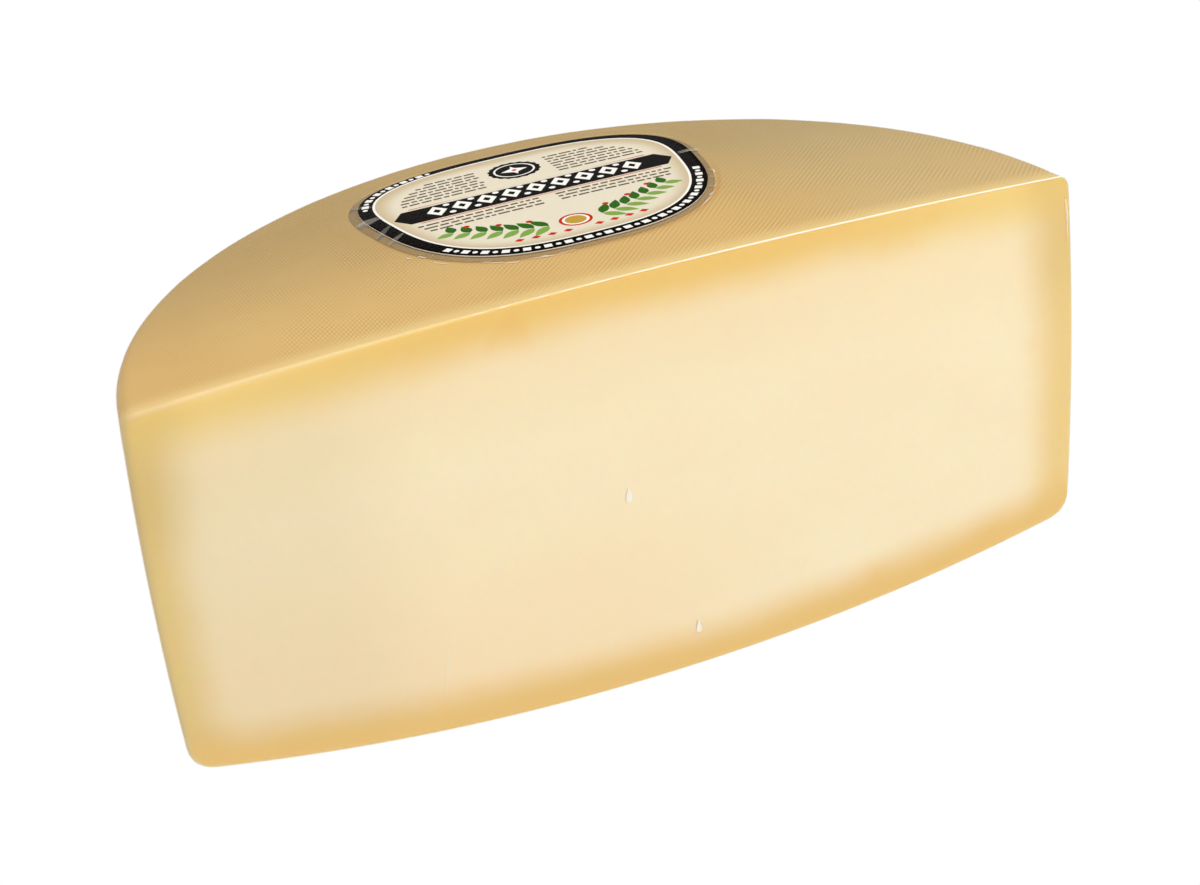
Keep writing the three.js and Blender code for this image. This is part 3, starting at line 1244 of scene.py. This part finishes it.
def dome_up(points):
    """The direction straight out of the top dome at each point."""
    step = 0.5 * MM
    x, y = points[:, 0], points[:, 1]
    slope_x = (top_height(x + step, y) - top_height(x - step, y)) / (2 * step)
    slope_y = (top_height(x, y + step) - top_height(x, y - step)) / (2 * step)
    return np.stack([-slope_x, -slope_y, np.ones(len(points))], -1)


def path_object(name, paths, ups):
    """Bare edges along each path, with the direction out of the surface below stored at every point."""
    firsts = np.cumsum([0] + [len(path) for path in paths])
    pairs = [(i, i + 1) for a, b in zip(firsts, firsts[1:]) for i in range(a, b - 1)]
    obj = new_object(name, np.concatenate(paths), [])
    obj.data.edges.add(len(pairs))
    obj.data.edges.foreach_set("vertices", np.ravel(pairs))
    up = np.concatenate(ups) @ np.array(wheel_place().to_3x3()).T
    obj.data.attributes.new("up", "FLOAT_VECTOR", "POINT").data.foreach_set("vector", up.ravel())
    return obj


def rim_beads():
    """The white bars and beads printed round the black rim, in two arcs."""
    look = settings(LabelLook)
    plan = egg(rim_width(FINE_STEPS) / 2, FINE_STEPS)
    middle = over_dome(plan, look.clearance + look.thickness)
    arcs = [middle[PER_DEGREE * start : PER_DEGREE * end] for start, end in BEAD_ARCS]
    obj = path_object("label_beads", arcs, [dome_up(arc) for arc in arcs])
    values = {
        "Spacing": 3.2 * MM,
        "Bar Length": 2.5 * MM,
        "Bar Width": 2.4 * MM,
        "Bead Radius": 0.9 * MM,
        "Depth": 0.06 * MM,
    }
    return run_tree(obj, beads_tree(bpy.data.materials["print_white"]), values)


def margin_material():
    """The clear sheet's border, a little grey where it bridges from the label to the rind."""
    material, tree = new_material("clear_margin")
    clear = add(tree, "ShaderNodeBsdfTransparent", {"Color": (0.94, 0.93, 0.91, 1)}).outputs[0]
    haze = add(tree, "ShaderNodeBsdfDiffuse", {"Color": (0.42, 0.37, 0.29, 1)}).outputs[0]
    output(tree, add(tree, "ShaderNodeMixShader", {0: 0.14, 1: clear, 2: haze}).outputs[0])
    return material


MARGIN_GAP = 0.15
MARGIN_LIFTS = (0.10 * MM, 0.17 * MM)
MARGIN_BACK_SHARE = 0.45
MARGIN_SHIFT = 0.25


def clear_margin():
    """A thin closed ring of clear sheet round the label, narrow at the back and widest at the left."""
    look = settings(LabelLook)
    side_share = (rim_width() - RIM_BACK) / (RIM_SIDE - RIM_BACK)
    turn = np.linspace(0, 2 * math.pi, len(side_share), endpoint=False)
    width = look.margin / MM * (MARGIN_BACK_SHARE + (1 - MARGIN_BACK_SHARE) * side_share)
    inner = egg(-MARGIN_GAP)
    outer = egg(-width * (1 - MARGIN_SHIFT * np.cos(turn)))
    total = len(inner)
    rings = []
    for lift in MARGIN_LIFTS:
        rings += [over_dome(inner, lift), over_dome(outer, lift)]
    now = np.arange(total)
    after = np.roll(now, -1)
    faces = []
    loops = [now + i * total for i in range(4)]
    nexts = [after + i * total for i in range(4)]
    low_in, low_out, high_in, high_out = range(4)
    for a, b in ((high_in, high_out), (high_out, low_out), (low_out, low_in), (low_in, high_in)):
        faces += np.stack([loops[a], loops[b], nexts[b], nexts[a]], -1).tolist()
    obj = new_object("label_margin", np.concatenate(rings), [tuple(face) for face in faces])
    obj.data.materials.append(margin_material())
    return obj


class CHEESE_OT_label(bpy.types.Operator):
    """Lay the label on the top, with its print and its clear margin"""

    bl_idname = "cheese.label"
    bl_label = "Label"

    def execute(self, context):
        sheet = label_sheet()
        for piece in (sheet, rim_beads(), clear_margin()):
            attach(piece, "root")
        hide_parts("label")
        return {"FINISHED"}


# --------------------------------------------------------------------------------------------------
# The film's folds: hair-thin whitish strips on the film, most of them painted highlights and reflections
# --------------------------------------------------------------------------------------------------

# A painted highlight of the film runs along the cut's top edge between these places across, in millimetres.
EDGE_HIGHLIGHT = (-52.0, 147.0)
EDGE_HIGHLIGHT_STEPS = 260
EDGE_HIGHLIGHT_GRAIN = 5
EDGE_HIGHLIGHT_HAZE = 0.85
THINNEST_FOLD = 0.02
FOLD_LIFT = 0.04 * MM
FACE_FOLD_Y = -0.29

# Painted highlights of short folds beside the label: from and to, in degrees of the outline's parameter,
# how many, and the least and most distance from the outline.
FOLD_GLINT_ARCS = ((196, 262, 11, 3.6, 6.4), (312, 350, 7, 2.0, 4.0))

# Painted reflections of folds across the label's rim: their outer end as a fine step of the outline, how
# many steps further their inner end lies, how far in that end is, the widths from the inner end to the
# outer, and the haze.
OUTER_END = -3.2
AT_KEYLINE = 4.6
AT_OUTLINE = -0.4
RIM_FOLD_REFLECTIONS = (
    (304, 6, AT_KEYLINE, (1.4, 3.0, 4.0), 0.05),
    (346, -4, AT_KEYLINE, (2.6, 5.0, 4.0), 0.09),
    (364, -6, AT_KEYLINE, (1.0, 2.4, 1.8), 0.05),
    (376, -8, AT_KEYLINE, (1.0, 2.2, 1.4), 0.07),
    (12, -3, AT_KEYLINE, (0.9, 2.0, 3.0), 0.10),
    (10, -3, AT_KEYLINE, (0.25, 0.45, 0.6), 0.35),
    (702, -2, AT_OUTLINE, (0.2, 0.35, 0.3), 0.45),
    (688, -2, AT_OUTLINE, (0.2, 0.3, 0.35), 0.40),
    (668, -3, AT_OUTLINE, (0.2, 0.3, 0.35), 0.40),
)


class Folds:
    """Strips along paths on the film, each with its widths and its haze, 0 for clear and 1 for white."""

    def __init__(self):
        self.paths = []
        self.ups = []
        self.widths = []
        self.hazes = []

    def add(self, path, up, widths, haze):
        self.paths.append(path)
        self.ups.append(np.broadcast_to(up, path.shape))
        self.widths.append(np.broadcast_to(widths, len(path)) * MM)
        self.hazes.append(np.full(len(path), haze))

    def add_on_top(self, plan, widths, haze):
        """A strip whose path is laid out flat, like the label's print."""
        look = settings(LabelLook)
        x = plan[:, 0] * MM + look.centre_x
        y = plan[:, 1] * MM + look.centre_y
        path = over_dome(plan, film_lift(x, y, 1.0) + FOLD_LIFT)
        self.add(path, dome_up(path), widths, haze)

    def add_on_face(self, x, z, widths, haze):
        """A strip on the cut face, through the given places in millimetres."""
        path = np.stack([np.array(x), np.full(len(x), FACE_FOLD_Y), np.array(z)], -1) * MM
        self.add(path, (0, -1, 0), np.array(widths), haze)

    def object(self, name):
        obj = path_object(name, self.paths, self.ups)
        store(obj.data, "width", np.concatenate(self.widths))
        store(obj.data, "haze", np.concatenate(self.hazes))
        return obj


def edge_highlight(folds, rng):
    """A painted highlight: the film's white line along the top edge of the cut, broken towards its left
    end.
    """
    x = np.linspace(*EDGE_HIGHLIGHT, EDGE_HIGHLIGHT_STEPS) * MM
    radius = edge_radius(x)
    out = (radius + FILM_GAP + FOLD_LIFT / 2) * math.sqrt(0.5)
    path = np.stack([x, radius - out, top_height(x, radius) - radius + out], -1)
    whole = smooth_step(np.linspace(0, 2.2, EDGE_HIGHLIGHT_STEPS))
    uneven = [rng.random() for _ in range(EDGE_HIGHLIGHT_STEPS // EDGE_HIGHLIGHT_GRAIN)]
    missing = 0.42 * np.repeat(uneven, EDGE_HIGHLIGHT_GRAIN) * (1.15 - whole)
    width = np.maximum(0.22 + 0.28 * whole - missing, THINNEST_FOLD)
    folds.add(path, (0, -1, 1), width, EDGE_HIGHLIGHT_HAZE)


def label_fold_glints(folds, rng):
    """Painted highlights of short folds beside the label, and painted reflections of broad ones across its
    rim at the left end and right shoulder.
    """
    for start, end, number_of, near, far in FOLD_GLINT_ARCS:
        for _ in range(number_of):
            place = rng.randrange(PER_DEGREE * start, PER_DEGREE * end)
            line = egg(-rng.uniform(near, far), FINE_STEPS)[place : place + rng.randrange(4, 14)]
            folds.add_on_top(line, rng.uniform(0.25, 0.6), rng.uniform(0.3, 0.6))
    outer = egg(OUTER_END, FINE_STEPS)
    for place, skew, inwards, widths, haze in RIM_FOLD_REFLECTIONS:
        inner = egg(inwards, FINE_STEPS)
        ends = np.stack([inner[(place + skew) % FINE_STEPS], outer[place]])
        plan = np.stack([ends[0], ends.mean(0), ends[1]])
        folds.add_on_top(plan, np.array(widths), haze)


# Marks of the film over the cut face, the scratch and the painted highlight on its fold at the right end:
# places across and up, widths, all in millimetres, and the haze.
SCRATCH = ((-69.3, -70.9, -73.0), (-34.5, -41.4, -54.3), (0.1, 0.34, 0.15), 0.85)
END_FOLD_HIGHLIGHT = ((147.7, 148.4, 148.9, 149.1), (62.0, 58.5, 54.0, 47.0), (0.2, 0.9, 0.8, 0.2), 0.28)

# Painted highlights on the film's blisters: their places across and up, their sizes and hazes, and the form
# of one of size 1.
BLISTER_GLINTS = ((-6.8, -1.2, 1.0, 0.78), (12.9, -56.0, 0.9, 0.74))
BLISTER_LEVELS = np.array((-2.6, -1.6, -0.2, 1.2, 2.8))
BLISTER_WIDTHS = np.array((1.5, 2.6, 2.2, 1.1, 0.1))


def face_marks(folds):
    """A scratch of the film over the cut face, painted highlights on two small blisters of it, and a
    painted milky highlight on its fold at the right.
    """
    folds.add_on_face(*SCRATCH)
    for x, z, size, haze in BLISTER_GLINTS:
        across = np.full(len(BLISTER_LEVELS), x)
        folds.add_on_face(across, z + BLISTER_LEVELS * size, BLISTER_WIDTHS * size, haze)
    folds.add_on_face(*END_FOLD_HIGHLIGHT)


def folds_tree(material):
    """Strips as wide as each path's width, lying flat."""
    tree, given = geometry_tree("Film folds", {"Thickness": "Float"})
    curve = add(tree, "GeometryNodeMeshToCurve", {0: given.outputs["Geometry"]}).outputs[0]
    up = add(tree, "GeometryNodeInputNamedAttribute", {"Name": "up"}, data_type="FLOAT_VECTOR")
    inputs = {"Curve": curve, "Normal": up.outputs["Attribute"]}
    upright = add(tree, "GeometryNodeSetCurveNormal", inputs, mode="FREE").outputs[0]
    width = add(tree, "GeometryNodeInputNamedAttribute", {"Name": "width"}, data_type="FLOAT")
    lens = add(tree, "GeometryNodeCurvePrimitiveCircle", {"Resolution": 6, "Radius": 0.5}).outputs[0]
    scale = add(tree, "ShaderNodeCombineXYZ", {0: given.outputs["Thickness"], 1: 1.0, 2: 1.0}).outputs[0]
    lens = add(tree, "GeometryNodeTransform", {"Geometry": lens, "Scale": scale}).outputs[0]
    inputs = {
        "Curve": upright,
        "Profile Curve": lens,
        "Scale": width.outputs["Attribute"],
        "Fill Caps": True,
    }
    strips = add(tree, "GeometryNodeCurveToMesh", inputs).outputs[0]
    strips = add(tree, "GeometryNodeSetShadeSmooth", {0: strips, "Shade Smooth": False}).outputs[0]
    finish_tree(tree, strips, [(material, None)])
    return tree


def fold_glint_material():
    """Whitish film: a scratch, and painted highlights and reflections on its folds, as white as the strip's
    haze says.
    """
    material, tree = new_material("film_fold")
    clear = tree.nodes.new("ShaderNodeBsdfTransparent").outputs[0]
    # Painted highlights and reflections: a diffuse whitish colour on the strips.
    white = add(tree, "ShaderNodeBsdfDiffuse", {"Color": (1.0, 0.94, 0.82, 1)}).outputs[0]
    inputs = {0: attribute(tree, "haze"), 1: clear, 2: white}
    output(tree, add(tree, "ShaderNodeMixShader", inputs).outputs[0])
    return material


class CHEESE_OT_film_folds(bpy.types.Operator):
    """Lay painted highlights of the clear film's folds along the cut, round the label and on the cut face
    """

    bl_idname = "cheese.film_folds"
    bl_label = "Film folds"

    def execute(self, context):
        rng = random.Random(settings(CheeseLook).seed)
        folds = Folds()
        edge_highlight(folds, rng)
        label_fold_glints(folds, rng)
        face_marks(folds)
        piece = run_tree(folds.object("film_folds"), folds_tree(fold_glint_material()), {"Thickness": 0.08})
        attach(piece, "root")
        return {"FINISHED"}


# --------------------------------------------------------------------------------------------------
# Floor, lights and camera
# --------------------------------------------------------------------------------------------------

FLOOR_SIZE = 60.0
FLOOR_GLOW = 1.02
WORLD_GLOW = 0.15
FRAME_WIDTH = 36
LAMP_TARGET = Vector((0, 0, 0.07))

# Each lamp's name, place and size in metres, and power in watts.
LAMPS = (
    ("key", (0.8, -1.3, 1.05), (0.3, 0.3), 8.0),
    ("front", (0.4, -1.7, 0.22), (1.4, 0.4), 6.4),
    ("overhead", (0.0, 0.3, 2.5), (2.4, 2.4), 62.0),
    ("fill", (-1.7, -0.9, 0.6), (0.8, 0.8), 6.0),
    ("back", (0.2, 1.9, 0.3), (1.2, 0.6), 0.8),
)


def lamp(name, place, size, power):
    """A soft oblong lamp that faces the cheese."""
    data = bpy.data.lights.new(name, "AREA")
    data.shape = "RECTANGLE"
    data.size, data.size_y = size
    data.energy = power
    obj = bpy.data.objects.new(name, data)
    obj.location = place
    obj.rotation_euler = (LAMP_TARGET - Vector(place)).to_track_quat("-Z", "Y").to_euler()
    bpy.context.scene.collection.objects.link(obj)


def floor():
    """A wide white floor that glows, so that it shows no shadow."""
    look = settings(StageLook)
    mesh = bpy.data.meshes.new("floor")
    half = FLOOR_SIZE / 2
    corners = [(-half, -half, 0), (half, -half, 0), (half, half, 0), (-half, half, 0)]
    mesh.from_pydata(corners, [], [(0, 1, 2, 3)])
    material, tree = new_material("pale_floor")
    inputs = {"Color": (*look.floor, 1), "Strength": FLOOR_GLOW}
    output(tree, add(tree, "ShaderNodeEmission", inputs).outputs[0])
    mesh.materials.append(material)
    obj = bpy.data.objects.new("floor", mesh)
    bpy.context.scene.collection.objects.link(obj)


def camera():
    """The photograph's camera, set by its direction in the wheel's own frame."""
    look = settings(StageLook)
    data = bpy.data.cameras.new("camera")
    data.lens = look.focal
    data.sensor_width = FRAME_WIDTH
    data.sensor_fit = "HORIZONTAL"
    turn = Matrix.Rotation(look.azimuth, 4, "Z") @ Matrix.Rotation(math.pi / 2 - look.elevation, 4, "X")
    rolled = turn @ Matrix.Rotation(look.roll, 4, "Z")
    right, up, back = (rolled.col[i].to_3d() for i in range(3))
    eye = back * look.distance + right * look.aside + up * look.above
    obj = bpy.data.objects.new("camera", data)
    bpy.context.scene.collection.objects.link(obj)
    obj.matrix_world = wheel_place() @ Matrix.Translation(eye) @ rolled
    bpy.context.scene.camera = obj


class CHEESE_OT_stage(bpy.types.Operator):
    """Set up the pale floor, the soft lights and the camera"""

    bl_idname = "cheese.stage"
    bl_label = "Stage"

    def execute(self, context):
        scene = context.scene
        scene.view_settings.view_transform = "Standard"
        world = bpy.data.worlds.new("studio")
        world.use_nodes = True
        background = world.node_tree.nodes["Background"]
        background.inputs["Color"].default_value = (1, 1, 1, 1)
        background.inputs["Strength"].default_value = WORLD_GLOW
        scene.world = world
        floor()
        for name, place, size, power in LAMPS:
            lamp(name, place, size, power)
        camera()
        return {"FINISHED"}


class CHEESE_PT_panel(bpy.types.Panel):
    """Sizes, looks and the steps that make the half wheel"""

    bl_label = "Parmesan half wheel"
    bl_space_type = "VIEW_3D"
    bl_region_type = "UI"
    bl_category = "Cheese"

    def draw(self, context):
        for group in GROUPS:
            box = self.layout.box()
            box.label(text=group.__name__)
            for name in group.__annotations__:
                box.prop(settings(group), name)
        for step in STEPS:
            self.layout.operator(step.bl_idname)


STEPS = (CHEESE_OT_half_wheel, CHEESE_OT_label, CHEESE_OT_film, CHEESE_OT_film_folds, CHEESE_OT_stage)


def register():
    for group in GROUPS:
        bpy.utils.register_class(group)
        pointer = bpy.props.PointerProperty(type=group)
        setattr(bpy.types.Scene, "cheese_" + group.__name__.lower(), pointer)
    for item in (*STEPS, CHEESE_PT_panel):
        bpy.utils.register_class(item)


def unregister():
    for item in (CHEESE_PT_panel, *reversed(STEPS)):
        bpy.utils.unregister_class(item)
    for group in reversed(GROUPS):
        delattr(bpy.types.Scene, "cheese_" + group.__name__.lower())
        bpy.utils.unregister_class(group)


def main():
    register()
    bpy.ops.cheese.half_wheel()
    bpy.ops.cheese.label()
    bpy.ops.cheese.film()
    bpy.ops.cheese.film_folds()
    bpy.ops.cheese.stage()


if __name__ == "__main__":
    main()
